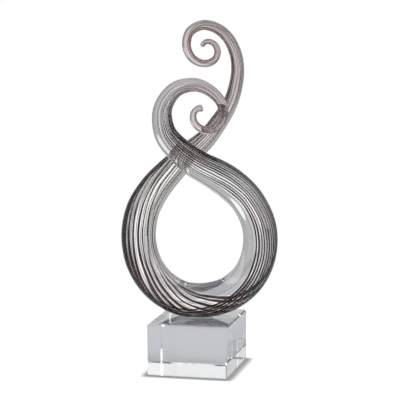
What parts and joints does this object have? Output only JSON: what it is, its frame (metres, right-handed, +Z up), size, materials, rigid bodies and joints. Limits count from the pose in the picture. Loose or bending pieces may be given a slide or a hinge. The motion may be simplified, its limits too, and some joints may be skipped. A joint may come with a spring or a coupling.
{
  "type": "glass sculpture",
  "caption": "Tapering filigree glass rod bent into a figure of eight with two curled tips, bonded upright on a clear crystal block.",
  "frame": {"origin": "centre of the crystal block's underside, on the table", "axes": "+Z up, +X to the viewer's right, -Y towards the front, where the strand that crosses over faces the viewer"},
  "size_m": [0.1619, 0.088, 0.3441],
  "materials": {
    "crystal": "polished optical crystal",
    "bond": "clear cured glue",
    "clear_glass": "fire polished clear glass",
    "core_glass": "clear glass inside the canes",
    "dark_cane_glass": "near-black amethyst glass",
    "white_cane_glass": "opal white glass"
  },
  "bodies": {
    "root": {"crystal_base": "crystal", "bond_pad": "bond", "glass_casing": "clear_glass", "glass_core": "core_glass", "dark_cane_01": "dark_cane_glass", "dark_cane_02": "dark_cane_glass", "dark_cane_03": "dark_cane_glass", "dark_cane_04": "dark_cane_glass", "dark_cane_05": "dark_cane_glass", "dark_cane_06": "dark_cane_glass", "dark_cane_07": "dark_cane_glass", "dark_cane_08": "dark_cane_glass", "dark_cane_09": "dark_cane_glass", "dark_cane_10": "dark_cane_glass", "dark_cane_11": "dark_cane_glass", "dark_cane_12": "dark_cane_glass", "dark_cane_13": "dark_cane_glass", "dark_cane_14": "dark_cane_glass", "white_cane_01": "white_cane_glass", "white_cane_02": "white_cane_glass", "white_cane_03": "white_cane_glass", "white_cane_04": "white_cane_glass", "white_cane_05": "white_cane_glass", "white_cane_06": "white_cane_glass", "white_cane_07": "white_cane_glass", "white_cane_08": "white_cane_glass", "white_cane_09": "white_cane_glass", "white_cane_10": "white_cane_glass", "white_cane_11": "white_cane_glass", "white_cane_12": "white_cane_glass", "white_cane_13": "white_cane_glass", "white_cane_14": "white_cane_glass"}
  },
  "joints": []
}
